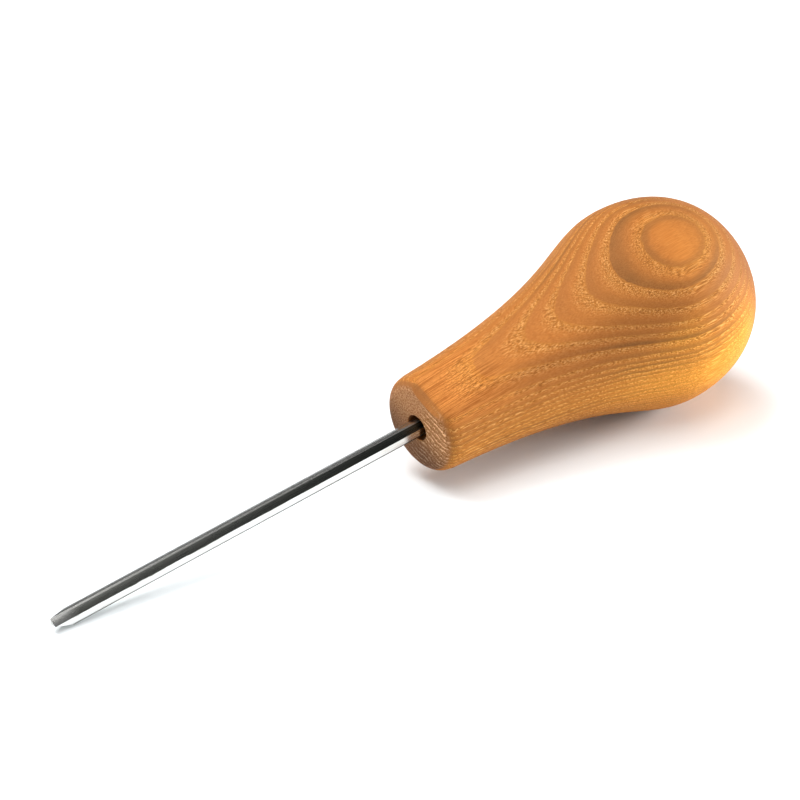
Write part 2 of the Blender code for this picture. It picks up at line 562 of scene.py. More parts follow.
@dataclass(frozen=True)
class WoodPoint:
    """A point of the wood: its place on the tool in mm, and its place in the growth rings.

    The side is 0 above and below the axis and 1 level with it. The height is measured across the rings, the
    count is the number of rings above the point, and the phase is its place between two rings, from 0 to 1.
    """

    bench: MaterialBench
    vector: Socket
    x: Signal
    y: Signal
    z: Signal
    side: Signal
    height: Signal
    count: Signal
    phase: Signal

    def noise(self, grain: Grain) -> Signal:
        """A cloudy pattern of the wood at this point."""
        return self.bench.noise(self.vector, grain)

    def within(self, zone: Zone) -> Signal:
        """Where a zone of the wood is: 1 inside all of its soft borders."""
        steps = [getattr(self, measure.value).ramp(start, end) for measure, start, end in zone]
        return math.prod(steps[1:], start=steps[0])


@dataclass(frozen=True)
class GrowthRings:
    """Growth rings, bowed across the handle and arched along it. Lengths in mm.

    The widths are those of the rings from the bulb's crown down, and finer rings of one width follow them.
    """

    top: float = 22.5
    widths: tuple[float, ...] = (2.46, 1.99, 2.0, 1.95, 1.3, 1.55, 1.9, 1.25)
    fine_width: float = 1.05
    fine_rings: int = 34
    bulb_x: float = 59.0
    turn: float = math.radians(2.0)
    bow: float = 0.00256
    bow_lean: float = 0.000078
    slope: float = 0.031
    arch: float = 0.00072
    arch_lean: float = 0.0000093
    twist: float = 0.00086
    crown_heights: Span = (18.0, 20.1)
    crown_tilt_x: float = 0.064
    crown_tilt_y: float = -0.046
    drift: float = 1.5
    drift_heights: Span = (9.0, 6.0)
    drift_grain: Grain = Grain((80.0, 3.0, 2.2), 29.0, 1.0)
    sway: float = 0.35
    sway_grain: Grain = Grain((60.0, 12.0, 12.0), 0.0, 1.0)
    ripple: float = 0.27
    ripple_grain: Grain = Grain((4.0, 0.7, 0.7), 7.0, 3.0)

    def even_height(self, x: Signal, y: Signal, z: Signal) -> Signal:
        """Height of a point across the rings, as if they had no unevenness of their own.

        Args:
            x: Distance from the front face.
            y: Distance across the flat.
            z: Distance from the axis towards the flat.

        Returns:
            The height above the ring that crosses the axis under the bulb.
        """
        up = z * math.cos(self.turn) + y * math.sin(self.turn)
        side = y * math.cos(self.turn) - z * math.sin(self.turn)
        along = x - self.bulb_x
        bowed = side * side * (side * self.bow_lean + self.bow)
        arched = along * (along * (along * self.arch_lean + self.arch) + self.slope)
        return up - bowed - arched + side * along * self.twist

    def count(self, height: Signal) -> Signal:
        """Count the rings from the top of the bulb down to a height.

        Args:
            height: Height of the point across the rings.

        Returns:
            The number of rings above it, with its part of a ring.
        """
        top = self.top
        widths = [*self.widths, self.fine_width * self.fine_rings]
        rings_in = [1.0] * len(self.widths) + [float(self.fine_rings)]
        counted: Value = 0.0
        for width, rings in zip(widths, rings_in):
            counted = counted + ((top - height) / width).clip() * rings
            top -= width
        return counted

    def locate(self, bench: MaterialBench, axis: ToolAxis) -> WoodPoint:
        """Find where the shaded point lies in the wood.

        Args:
            bench: The material's nodes.
            axis: The tool's axis, which the grain follows.

        Returns:
            The point.
        """
        vector = bench.position(axis)
        x, y, z = bench.split(vector)
        height = self.even_height(x, y, z)
        tilt = (x - self.bulb_x) * self.crown_tilt_x + y * self.crown_tilt_y
        height = height + height.ramp(*self.crown_heights) * tilt
        drift = bench.noise(vector, self.drift_grain) - NOISE_MEAN
        sway = bench.noise(vector, self.sway_grain) - NOISE_MEAN
        ripple = bench.noise(vector, self.ripple_grain) - NOISE_MEAN
        height = height + drift * height.ramp(*self.drift_heights) * self.drift
        height = height + sway * self.sway + ripple * self.ripple
        count = self.count(height)
        side = y * y / (y * y + z * z)
        return WoodPoint(bench, vector, x, y, z, side, height, count, count.fraction())


@dataclass(frozen=True)
class SideGrain:
    """Ash along its fibres: early wood with flecks and pores, late wood, and a planed flat. Lengths in mm.

    The rings hardly show in the calm zone, low on the side of the bulb.
    """

    early: Colour = (0.515, 0.19, 0.037)
    middle: Colour = (0.495, 0.171, 0.037)
    late: Colour = (0.20, 0.086, 0.027)
    fleck: Colour = (0.70, 0.35, 0.112)
    pore: Colour = PORE_BROWN
    streak_shade: Colour = (0.72, 0.66, 0.6)
    groove_shade: Colour = (0.66, 0.56, 0.48)
    planed_tint: Colour = (1.36, 1.44, 1.46)
    early_phase: Span = (0.1, 0.55)
    porous_start: Span = (0.0, 0.12)
    porous_end: Span = (0.15, 0.7)
    patch_grain: Grain = Grain((3.0, 0.6, 0.6), 13.0, 2.0)
    patch_reach: float = 0.3
    calm: Zone = ((Measure.X, 36.0, 56.0), (Measure.X, 74.0, 62.0), (Measure.HEIGHT, 10.0, 3.0))
    calm_fade: float = 0.6
    calm_porous: float = 0.22
    late_phase: Span = (0.3, 0.9)
    seam_phase: Span = (0.1, 0.0)
    seam_share: float = 0.8
    ring_seed: float = 3768.0
    weakest_ring: float = 0.3
    pole_x: Span = (58.0, 74.0)
    pole_fade: float = 0.68
    neck_top: Zone = ((Measure.X, 45.0, 25.0), (Measure.Z, 3.0, 7.0))
    neck_fade: float = 0.6
    crown_rings: Span = (0.95, 0.8)
    crown_fade: float = 0.72
    cloud_grain: Grain = Grain((24.0, 6.0, 6.0), 11.0, 2.0)
    cloud_gain: float = 0.8
    cloud_floor: float = 0.36
    planed: Zone = ((Measure.X, 22.0, 12.0), (Measure.Z, 6.5, 8.0))
    groove_grain: Grain = Grain((9.0, 0.15, 4.0), 23.0, 2.0)
    groove_band: Span = (0.55, 0.43)
    dash_grain: Grain = Grain((3.0, 0.105, 0.105), 5.0, 1.0)
    fleck_band: Span = (0.53, 0.62)
    fleck_floor: float = 0.15
    fleck_share: float = 0.95
    planed_fade: float = 0.6
    bullseye_rings: Span = (2.1, 1.5)
    bullseye_fade: float = 0.4
    pore_band: Span = (0.5, 0.4)
    pore_floor: float = 0.2
    pore_share: float = 0.85
    fibre_grain: Grain = Grain((6.0, 0.16, 0.16), 3.0, 3.0)
    fibre_band: Span = (0.38, 0.62)
    streak_share: float = 0.4
    fibre_relief: float = 0.3
    fleck_relief: float = 0.2
    porous_relief: float = 0.2
    roughness: float = 0.52
    porous_roughness: float = 0.06
    pore_roughness: float = 0.1

    def porous(self, wood: WoodPoint, calm: Signal) -> Signal:
        """Share of porous early wood, from the start of each ring to its ragged end.

        Args:
            wood: The point of the wood.
            calm: Where the rings hardly show.

        Returns:
            The share.
        """
        ragged = wood.phase + (wood.noise(self.patch_grain) - NOISE_MEAN) * self.patch_reach
        share = wood.phase.ramp(*self.porous_start) * (1.0 - ragged.ramp(*self.porous_end))
        return share * calm.fade(self.calm_fade) + calm * self.calm_porous

    def dense(self, wood: WoodPoint, calm: Signal) -> Signal:
        """Share of dark late wood, which differs from ring to ring and fades in some places.

        Args:
            wood: The point of the wood.
            calm: Where the rings hardly show.

        Returns:
            The share.
        """
        count, phase = wood.count, wood.phase
        seam = (phase.ramp(*self.late_phase) + phase.ramp(*self.seam_phase) * self.seam_share).clip()
        strength = wood.bench.chance(count - phase + self.ring_seed).above(self.weakest_ring)
        pole = wood.x.ramp(*self.pole_x)
        cloud = (wood.noise(self.cloud_grain) * self.cloud_gain + self.cloud_floor).clip()
        share = seam * strength * cloud * pole.fade(self.pole_fade)
        share = share * wood.within(self.neck_top).fade(self.neck_fade)
        return share * count.ramp(*self.crown_rings).fade(self.crown_fade) * calm.fade(self.calm_fade)

    def surface(self, wood: WoodPoint) -> tuple[Socket, Signal, Signal]:
        """Show the wood along its fibres.

        Args:
            wood: The point of the wood.

        Returns:
            Its colour, its relief and its roughness.
        """
        lay = wood.bench.lay
        calm = wood.within(self.calm)
        planed = wood.within(self.planed)
        porous = self.porous(wood, calm)
        grooves = wood.noise(self.groove_grain).ramp(*self.groove_band)
        fibres = wood.noise(self.fibre_grain).ramp(*self.fibre_band)
        dashes = wood.noise(self.dash_grain)
        bullseye = wood.count.ramp(*self.bullseye_rings)
        flecks = dashes.ramp(*self.fleck_band) * porous.above(self.fleck_floor)
        flecks = flecks * planed.fade(self.planed_fade) * bullseye.fade(self.bullseye_fade)
        pores = dashes.ramp(*self.pore_band) * porous.above(self.pore_floor)

        colour = lay(self.early, self.middle, wood.phase.ramp(*self.early_phase))
        colour = lay(colour, self.late, self.dense(wood, calm))
        colour = lay(colour, self.streak_shade, (1.0 - fibres) * self.streak_share, Blend.MULTIPLY)
        colour = lay(colour, self.groove_shade, grooves * planed, Blend.MULTIPLY)
        colour = lay(colour, self.planed_tint, planed, Blend.MULTIPLY)
        colour = lay(colour, self.fleck, flecks * self.fleck_share)
        colour = lay(colour, self.pore, pores * self.pore_share)
        relief = fibres * self.fibre_relief - pores - flecks * self.fleck_relief - porous * self.porous_relief
        roughness = self.roughness + porous * self.porous_roughness + pores * self.pore_roughness
        return colour, relief, roughness


@dataclass(frozen=True)
class WoodZones:
    """Broad tones of the wood: painted shade along the near side and on the crown, pale sapwood with a
    painted glow on the bulb, and a darker pole. Lengths in mm.
    """

    # Painted shade: a darker band along the near side of the handle.
    near_side_painted_shade: Colour = (0.80, 0.785, 0.815)
    # Pale sapwood, together with a painted golden glow where the bulb is lit.
    sap_and_glow_tint: Colour = (1.66, 1.83, 1.2)
    pole_shade: Colour = (0.88, 0.86, 0.88)
    # Painted shade on the upper limb of the bulb's end.
    crown_painted_shade: Colour = (0.68, 0.7, 0.84)
    near_side_shade_zone: Zone = ((Measure.X, 72.0, 60.0), (Measure.Y, 0.0, -3.0), (Measure.SIDE, 0.03, 0.25))
    near_side_shade_bulb_x: Span = (35.0, 55.0)
    near_side_shade_bulb_fade: float = 0.4
    near_side_shade_gap: Zone = ((Measure.X, 28.0, 48.0), (Measure.SIDE, 0.45, 0.75))
    sap_heights: Span = (12.0, -1.0)
    sap_share: float = 0.5
    # Painted light: a golden glow on the bulb's lit lower side, towards its end and in a patch of its near
    # side.
    bulb_sap_and_glow: Zone = ((Measure.X, 30.0, 60.0), (Measure.HEIGHT, 13.0, 3.0))
    bulb_sap_and_glow_share: float = 0.62
    foot_heights: Span = (3.0, -6.0)
    foot_fade: float = 0.62
    end_glow_x: Span = (52.0, 66.0)
    end_glow_share: float = 0.25
    glow_patch: Zone = (
        (Measure.X, 42.0, 51.0),
        (Measure.X, 61.0, 54.0),
        (Measure.Y, -11.5, -16.0),
        (Measure.Z, 8.0, 11.5),
    )
    glow_patch_share: float = 0.4
    near_y: Span = (8.0, -4.0)
    far_sap_and_glow: float = 0.3
    pole_facing: Span = (0.3, 0.75)
    pole_sap_and_glow_fade: float = 0.9
    # Painted shade: where the darker crown is laid.
    crown: Zone = ((Measure.X, 57.0, 68.0), (Measure.Y, -18.0, -9.0), (Measure.Z, -10.0, 14.0))

    def near_side_shade(self, wood: WoodPoint) -> Signal:
        """Where the painted shade lies: along the near side, but weak on the bulb and not at its widest."""
        bulb = wood.x.ramp(*self.near_side_shade_bulb_x).fade(self.near_side_shade_bulb_fade)
        return wood.within(self.near_side_shade_zone) * bulb * (1.0 - wood.within(self.near_side_shade_gap))

    def sapwood_and_glow(self, wood: WoodPoint, pole: Signal) -> Signal:
        """Where the sapwood and a painted glow show: low on the handle, most on the bulb's lit side, towards
        its end, and in a patch of its near side.

        Args:
            wood: The point of the wood.
            pole: Where the surface faces the bulb's end.

        Returns:
            The share of the tint of sapwood and painted glow.
        """
        low = wood.height.ramp(*self.sap_heights) * self.sap_share
        bulb = wood.within(self.bulb_sap_and_glow) * self.bulb_sap_and_glow_share
        end = wood.x.ramp(*self.end_glow_x) * self.end_glow_share
        glow_patch = wood.within(self.glow_patch) * self.glow_patch_share
        sap_and_glow = (low + bulb) * wood.height.ramp(*self.foot_heights).fade(self.foot_fade) + end + glow_patch
        return sap_and_glow.clip() * wood.y.ramp(*self.near_y).above(self.far_sap_and_glow) * pole.fade(self.pole_sap_and_glow_fade)

    def shade(self, wood: WoodPoint, colour: Socket, outward: Signal) -> Socket:
        """Shade and tint the wood by its zones, painted shade and a painted glow among them.

        Args:
            wood: The point of the wood.
            colour: Its colour.
            outward: How squarely it faces the way that the bulb's end does.

        Returns:
            The shaded colour.
        """
        pole = outward.ramp(*self.pole_facing)
        zones = (
            # painted shade along the near side
            (self.near_side_painted_shade, self.near_side_shade(wood)),
            (self.sap_and_glow_tint, self.sapwood_and_glow(wood, pole)),
            (self.pole_shade, pole),
            (self.crown_painted_shade, wood.within(self.crown)),
        )
        for shade, share in zones:
            colour = wood.bench.lay(colour, shade, share, Blend.MULTIPLY)
        return colour


@dataclass(frozen=True)
class FrontGrain:
    """End grain of the front face, with its worn edge, painted shadow low on the face and painted shade in
    the bore. Lengths in mm.
    """

    light: Colour = (0.92, 0.55, 0.28)
    dark: Colour = (0.41, 0.19, 0.083)
    pore: Colour = PORE_BROWN
    # Painted shadow: the lower part of the front face is darkened towards the floor.
    low_painted_shade: Colour = (0.33, 0.34, 0.42)
    edge: Colour = (0.30, 0.115, 0.038)
    # Painted shade laid down the bore.
    bore_painted_shade: Colour = (0.22, 0.18, 0.16)
    near_y: Span = (2.0, -3.0)
    rows: Zone = ((Measure.PHASE, 0.0, 0.1), (Measure.PHASE, 0.5, 0.25))
    row_share: float = 0.85
    far_rows: float = 0.1
    break_grain: Grain = Grain((0.9, 1.0, 0.4), 19.0, 1.0)
    break_band: Span = (0.45, 0.6)
    speck_grain: Grain = Grain((0.9, 0.3, 0.3), 17.0, 2.0)
    light_band: Span = (0.5, 0.64)
    light_share: float = 0.3
    pore_band: Span = (0.48, 0.36)
    pore_share: float = 0.85
    line_phase: Span = (0.45, 0.75)
    line_share: float = 0.45
    low_z: Span = (4.0, -6.0)
    edge_facing: Span = (0.5, 0.7)
    edge_share: float = 0.75
    near_edge_loss: float = 0.3
    face_facing: Span = (0.75, 0.96)
    near_face_gain: float = 0.1
    face_share: float = 0.92
    bore_radius: float = 2.6
    bore_blur: float = 0.15
    bore_end_x: Span = (60.0, 55.0)

    def end_grain(self, wood: WoodPoint, near: Signal) -> Socket:
        """Show the wood across its fibres.

        Args:
            wood: The point of the wood.
            near: The near side, where the rings show best.

        Returns:
            Its colour.
        """
        lay = wood.bench.lay
        specks = wood.noise(self.speck_grain)
        breaks = wood.noise(self.break_grain).ramp(*self.break_band)
        rows = wood.within(self.rows) * breaks * near.above(self.far_rows)
        light = specks.ramp(*self.light_band) * self.light_share + rows * self.row_share
        pores = specks.ramp(*self.pore_band) * (1.0 - rows) * self.pore_share
        colour = lay(self.dark, self.light, light)
        colour = lay(colour, self.pore, pores)
        colour = lay(colour, self.pore, wood.phase.ramp(*self.line_phase) * near * self.line_share)
        # Painted shadow, darker towards the bottom of the face.
        return lay(colour, self.low_painted_shade, wood.z.ramp(*self.low_z), Blend.MULTIPLY)

    def cover(self, wood: WoodPoint, colour: Socket, squareness: Signal) -> Socket:
        """Lay the front's edge, its end grain and the painted shade of the bore over the side grain.

        Args:
            wood: The point of the wood.
            colour: Colour of the side grain.
            squareness: How squarely the surface faces to the front.

        Returns:
            The colour of the whole handle.
        """
        lay, y, z = wood.bench.lay, wood.y, wood.z
        near = y.ramp(*self.near_y)
        edge = squareness.ramp(*self.edge_facing) * (self.edge_share - near * self.near_edge_loss)
        face = (squareness + near * self.near_face_gain).ramp(*self.face_facing) * self.face_share
        colour = lay(colour, self.edge, edge)
        colour = lay(colour, self.end_grain(wood, near), face)
        # Painted shade: the bore's wall is darkened inside its radius.
        outer = (self.bore_radius + self.bore_blur) ** 2
        bore = (y * y + z * z).ramp(outer, self.bore_radius**2) * wood.x.ramp(*self.bore_end_x)
        return lay(colour, self.bore_painted_shade, bore, Blend.MULTIPLY)


@dataclass(frozen=True)
class AshFinish:
    """Oiled ash with little shine: its growth rings along the fibres and across them. Lengths in mm."""

    rings: GrowthRings = GrowthRings()
    side: SideGrain = SideGrain()
    zones: WoodZones = WoodZones()
    front: FrontGrain = FrontGrain()
    front_roughness: float = 0.1
    relief_depth: float = 0.011
    ior: float = 1.45
    specular: float = 0.06

    def material(self, axis: ToolAxis) -> bpy.types.Material:
        """Build the material.

        Args:
            axis: The tool's axis, which the grain follows.

        Returns:
            The material.
        """
        bench = MaterialBench(Slot.ASH.value)
        wood = self.rings.locate(bench, axis)
        squareness = bench.facing(-axis.along).clip()
        colour, relief, roughness = self.side.surface(wood)
        colour = self.zones.shade(wood, colour, bench.facing(axis.along))
        colour = self.front.cover(wood, colour, squareness)
        return bench.finish(
            Base_Color=colour,
            Roughness=roughness + squareness * self.front_roughness,
            Normal=bench.bump(relief, self.relief_depth),
            IOR=self.ior,
            Specular_IOR_Level=self.specular,
        )


@dataclass(frozen=True)
class SteelFinish:
    """Ground tool steel: polished, with a dark top that grows darker towards the handle as painted shade, a
    lighter strip of painted reflection, and a dark line of painted shade along the side corners. Lengths in
    mm.
    """

    bright: Colour = (0.82, 0.82, 0.81)
    # Painted shade: the top is darkest at its root by the handle.
    dark_root_in_painted_shade: Colour = (0.05, 0.055, 0.05)
    dark_tip: Colour = (0.16, 0.165, 0.155)
    # Painted reflection: a lighter strip along the top's far edge.
    strip: Colour = (0.38, 0.38, 0.37)
    stained: Colour = (0.82, 0.81, 0.78)
    smooth: float = 0.18
    rough: float = 0.30
    root_shade_x: Span = (0.0, -85.0)
    top_edge: float = 0.9
    top_blur: float = 0.04
    top_z: Span = (0.0, 0.1)
    far_share: float = 0.2
    strip_y: Span = (0.5, 0.58)
    strip_band: Span = (0.3, 0.6)
    strip_floor: float = 0.5
    wander: float = 0.9
    wander_x: Span = (-15.0, -80.0)
    whetted_x: Span = (-80.0, -86.0)
    whetted_fade: float = 0.7
    # Painted shade: a dark line along the bar's side corners, at mid height.
    corner_line_z: Span = (0.2, 0.32)
    line_grain: Grain = Grain((18.0, 0.06, 0.06), 2.0, 3.0)
    line_band: Span = (0.35, 0.65)
    line_dullness: float = 0.4
    line_relief: float = 0.7
    stain_grain: Grain = Grain((5.0, 0.9, 0.9), 9.0, 3.0)
    stain_band: Span = (0.35, 0.7)
    stain_dullness: float = 0.6
    stain_relief: float = 0.3
    dull_roughness: float = 0.4
    dark_roughness: float = 0.6
    relief_depth: float = 0.0008

    def material(self, axis: ToolAxis) -> bpy.types.Material:
        """Build the material.

        Args:
            axis: The blade's axis, which the grinding lines follow.

        Returns:
            The material.
        """
        bench = MaterialBench(Slot.STEEL.value)
        point = bench.position(axis)
        x, y, z = bench.split(point)
        lines = bench.noise(point, self.line_grain)
        stain = bench.noise(point, self.stain_grain)
        wander = (stain - NOISE_MEAN) * x.ramp(*self.wander_x) * self.wander
        edge, blur = self.top_edge, self.top_blur
        top = (y + wander).ramp(-edge - blur, -edge + blur) * z.ramp(*self.top_z)
        far = y.ramp(edge - blur, edge + blur)
        # Painted reflection: the lighter strip near the top's far edge.
        strip = y.ramp(*self.strip_y) * (1.0 - far)
        strip = strip * top * lines.ramp(*self.strip_band).above(self.strip_floor)
        whetted = x.ramp(*self.whetted_x)
        # Painted shade: a dark line along the side corners at mid height, not the V groove.
        groove = 1.0 - z.magnitude().ramp(*self.corner_line_z)
        darkness = top * far.fade(1.0 - self.far_share) * whetted.fade(self.whetted_fade)
        darkness = (darkness + groove).clip()
        stains = stain.ramp(*self.stain_band) * self.stain_dullness
        dullness = (stains + lines.ramp(*self.line_band) * self.line_dullness).clip()

        # Painted shade, darker towards the handle.
        colour = bench.lay(self.dark_root_in_painted_shade, self.dark_tip, x.ramp(*self.root_shade_x))
        colour = bench.lay(self.bright, colour, darkness)
        colour = bench.lay(colour, self.strip, strip)
        colour = bench.lay(colour, self.stained, dullness, Blend.MULTIPLY)
        wear = dullness * self.dull_roughness + darkness * self.dark_roughness
        relief = lines * self.line_relief + stain * self.stain_relief
        return bench.finish(
            Base_Color=colour,
            Metallic=1.0,
            Roughness=self.smooth + wear * (self.rough - self.smooth),
            Normal=bench.bump(relief, self.relief_depth),
        )


@dataclass(frozen=True)
class AdhesiveFinish:
    """Set epoxy, brown and cloudy with small bubbles. Lengths in mm."""

    clear: Colour = (0.30, 0.20, 0.09)
    cloudy: Colour = (0.42, 0.33, 0.20)
    cloud_grain: Grain = Grain((4.0, 1.5, 1.5), 0.0, 3.0)
    cloud_band: Span = (0.35, 0.7)
    bubble_size: Place = (0.35, 0.35, 0.35)
    bubble_shift: float = 4.0
    bubble_wall: Span = (0.15, 0.4)
    bubble_depth: float = 0.05
    roughness: float = 0.25
    cloud_roughness: float = 0.3

    def material(self, axis: ToolAxis) -> bpy.types.Material:
        """Build the material.

        Args:
            axis: The tool's axis.

        Returns:
            The material.
        """
        bench = MaterialBench(Slot.ADHESIVE.value)
        point = bench.position(axis)
        cloud = bench.noise(point, self.cloud_grain)
        bubbles = bench.cells(bench.stretched(point, self.bubble_size, self.bubble_shift))
        return bench.finish(
            Base_Color=bench.lay(self.clear, self.cloudy, cloud.ramp(*self.cloud_band)),
            Roughness=self.roughness + cloud * self.cloud_roughness,
            Normal=bench.bump(bubbles.ramp(*self.bubble_wall), self.bubble_depth),
        )


@dataclass
class TurnedHandle:
    """The pear-shaped handle: turned outline, blind bore and a flat planed on the neck."""

    length: float = 80.8 * MM
    bulb_radius: float = 21.0 * MM
    bulb_x: float = 59.1 * MM
    front_radius: float = 9.9 * MM
    edge_round: float = 2.5 * MM
    neck_pull: Point = (44.8 * MM, 11.9 * MM)
    bulb_pull_x: float = 47.6 * MM
    cap_pull_x: float = 71.7 * MM
    pole_pull_radius: float = 13.9 * MM
    bore_radius: float = 2.5 * MM
    bore_depth: float = 47.0 * MM
    bore_chamfer: float = 0.25 * MM
    drill_point: float = math.radians(118.0)
    flat_height: float = 8.4 * MM
    flat_run_out_x: float = 18.0 * MM
    flat_stroke_x: float = 26.0 * MM
    flat_chamfer: float = 1.25 * MM
    flat_soften: float = 0.3 * MM
    sides: int = 180
    front_steps: int = 6
    edge_steps: int = 12
    neck_steps: int = 90
    neck_crowding: float = 1.2
    cap_steps: int = 48
    search_steps: int = 1000
    smooth_angle: float = math.radians(40.0)
    name: str = "turned_handle"

    def flank(self, t: float) -> Point:
        """A point of the side.

        Args:
            t: Place on the side, from 0 at the front to 1 at the fattest part of the bulb.

        Returns:
            The (x, radius) point.
        """
        start = (0.0, self.front_radius)
        end = (self.bulb_x, self.bulb_radius)
        return bezier_point((start, self.neck_pull, (self.bulb_pull_x, self.bulb_radius), end), t)

    def cap(self, t: float) -> Point:
        """A point of the bulb's end.

        Args:
            t: Place on the end, from 0 at the fattest part to 1 at the pole.

        Returns:
            The (x, radius) point.
        """
        start = (self.bulb_x, self.bulb_radius)
        pole = (self.length, 0.0)
        before_pole = (self.length, self.pole_pull_radius)
        return bezier_point((start, (self.cap_pull_x, self.bulb_radius), before_pole, pole), t)

    def outline(self) -> list[Point]:
        """The turning outline.

        Returns:
            Its (x, radius) points, from the end of the bore round the outside to the pole.
        """
        drill_tip = self.bore_depth + self.bore_radius / math.tan(self.drill_point / 2)
        mouth = self.bore_radius + self.bore_chamfer
        rim = self.front_radius - self.edge_round
        points = [(drill_tip, 0.0), (self.bore_depth, self.bore_radius)]
        points.append((self.bore_chamfer, self.bore_radius))
        for step in range(self.front_steps):
            points.append((0.0, mouth + (rim - mouth) * step / self.front_steps))
        for step in range(self.edge_steps):
            turn = math.pi / 2 * step / self.edge_steps
            points.append((self.edge_round * (1 - math.cos(turn)), rim + self.edge_round * math.sin(turn)))
        places = ((step / self.neck_steps) ** self.neck_crowding for step in range(self.neck_steps + 1))
        flank = [self.flank(place) for place in places]
        points += [point for point in flank if point[0] > self.edge_round]
        points += [self.cap(step / self.cap_steps) for step in range(1, self.cap_steps + 1)]
        return points

    def flat_rise(self) -> float:
        """How steeply the flat climbs towards its run-out.

        Returns:
            Its rise for each unit of length.
        """
        steps = (self.flank(step / self.search_steps) for step in range(self.search_steps))
        radius = next(radius for x, radius in steps if x > self.flat_run_out_x)
        return (radius - self.flat_height) / self.flat_run_out_x

    def plane_flat(self, piece: bpy.types.Object) -> None:
        """Press the top of the neck down to the flat and to the soft chamfer at its front.

        Args:
            piece: The turned handle, on the tool's axis.
        """
        rise = self.flat_rise()
        chamfer_foot = self.flat_height - self.flat_chamfer
        lowest = 2 * self.bore_radius
        for corner in piece.data.vertices:
            x, _, z = corner.co
            if z <= lowest or x > self.flat_stroke_x:
                continue
            flat = self.flat_height + rise * x
            limit = smooth_min(flat, chamfer_foot + x, self.flat_soften)
            corner.co.z = smooth_min(z, limit, self.flat_soften)
        piece.data.update()

    def build(self, axis: ToolAxis) -> bpy.types.Object:
        """Turn the handle and plane its flat.

        Args:
            axis: Where the tool lies.

        Returns:
            The finished piece.
        """
        piece = Bench.trace(self.name, [(x, 0.0, radius) for x, radius in self.outline()])
        bpy.ops.mesh.spin(
            steps=self.sides, angle=math.tau, center=(0.0, 0.0, 0.0), axis=(1.0, 0.0, 0.0)
        )
        Bench.close_shape()
        self.plane_flat(piece)
        Bench.put_in_place(piece, axis.matrix, self.smooth_angle)
        return piece

    def dress(self, piece: bpy.types.Object, axis: ToolAxis) -> None:
        """Give the handle its wood and its place in the frame.

        Args:
            piece: The finished handle.
            axis: Where the tool lies.
        """
        piece.data.materials.append(AshFinish().material(axis))
        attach(piece, BODY)
        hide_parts("handle")


